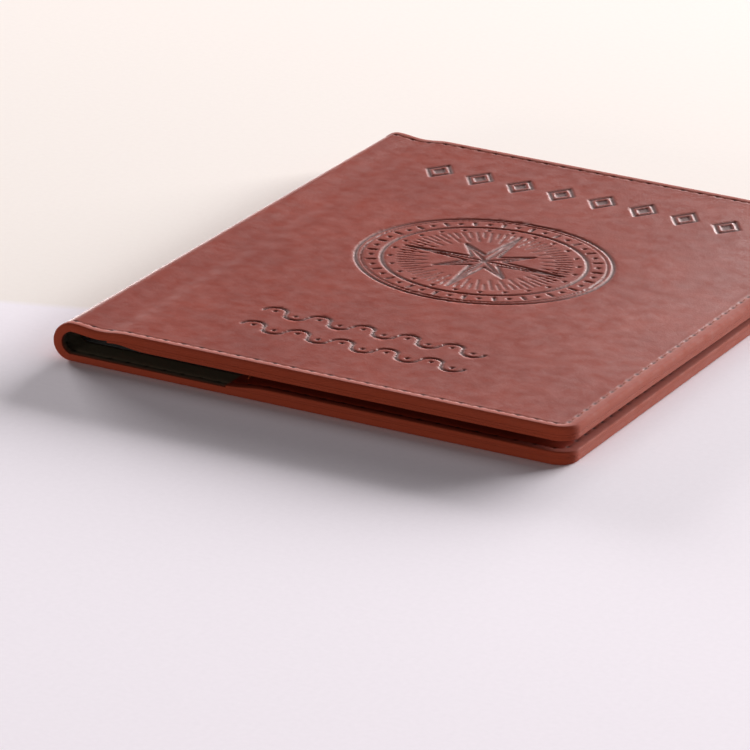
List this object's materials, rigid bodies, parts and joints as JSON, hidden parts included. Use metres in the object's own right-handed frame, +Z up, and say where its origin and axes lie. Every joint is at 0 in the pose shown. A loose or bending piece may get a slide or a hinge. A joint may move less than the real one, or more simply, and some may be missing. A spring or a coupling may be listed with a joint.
{
  "type": "passport holder",
  "caption": "Folding leather passport holder, closed: flat covers joined by a round spine loop, passport sleeve in the rear cover and card slots in the front cover.",
  "frame": {"origin": "middle of the closed holder's footprint, on the rear cover's resting face", "axes": "+X from the spine to the fore-edge, +Y from the lower to the upper edge of the covers, +Z up, out of the front cover"},
  "size_m": [0.106, 0.14, 0.0074],
  "materials": {
    "brown_leather": "smooth pull-up leather, semi-gloss",
    "lining_cloth": "matt woven lining",
    "stiffener": "matt sheet",
    "shield_foil": "bright foil",
    "sewing_thread": "twisted thread, slight sheen"
  },
  "bodies": {
    "rear_cover": {"rear_leather": "brown_leather", "rear_board": "stiffener", "rear_shield_foil": "shield_foil", "rear_lining": "lining_cloth", "rear_edge_strip_lower": "brown_leather", "rear_edge_strip_upper": "brown_leather", "rear_edge_strip_fore": "brown_leather", "passport_sleeve": "brown_leather", "sleeve_mouth_thread": "sewing_thread", "rear_seam_thread": "sewing_thread", "rear_bobbin_thread": "sewing_thread"},
    "spine_strip_1": {"spine_leather_1": "brown_leather", "spine_lining_1": "lining_cloth", "spine_threads_1": "sewing_thread"},
    "spine_strip_2": {"spine_leather_2": "brown_leather", "spine_lining_2": "lining_cloth", "spine_threads_2": "sewing_thread"},
    "spine_strip_3": {"spine_leather_3": "brown_leather", "spine_lining_3": "lining_cloth", "spine_threads_3": "sewing_thread"},
    "front_cover": {"front_leather": "brown_leather", "front_board": "stiffener", "front_shield_foil": "shield_foil", "front_lining": "lining_cloth", "front_edge_strip_lower": "brown_leather", "front_edge_strip_upper": "brown_leather", "front_edge_strip_fore": "brown_leather", "card_panel": "brown_leather", "card_slot_inner": "brown_leather", "card_slot_middle": "brown_leather", "card_slot_outer": "brown_leather", "card_slot_threads": "sewing_thread", "front_seam_thread": "sewing_thread", "front_bobbin_thread": "sewing_thread"}
  },
  "joints": [
    {"name": "fold_1", "type": "hinge", "parent": "rear_cover", "child": "spine_strip_1", "pos_m": [-0.05072, 0, 0.00028], "axis": [0, -1, 0], "range_deg": [0, 45]},
    {"name": "fold_2", "type": "hinge", "parent": "spine_strip_1", "child": "spine_strip_2", "pos_m": [-0.05272, 0, 0.00228], "axis": [0, -1, 0], "range_deg": [0, 45]},
    {"name": "fold_3", "type": "hinge", "parent": "spine_strip_2", "child": "spine_strip_3", "pos_m": [-0.05272, 0, 0.00512], "axis": [0, -1, 0], "range_deg": [0, 45]},
    {"name": "front_cover_fold", "type": "hinge", "parent": "spine_strip_3", "child": "front_cover", "pos_m": [-0.05072, 0, 0.00712], "axis": [0, -1, 0], "range_deg": [0, 45]}
  ]
}
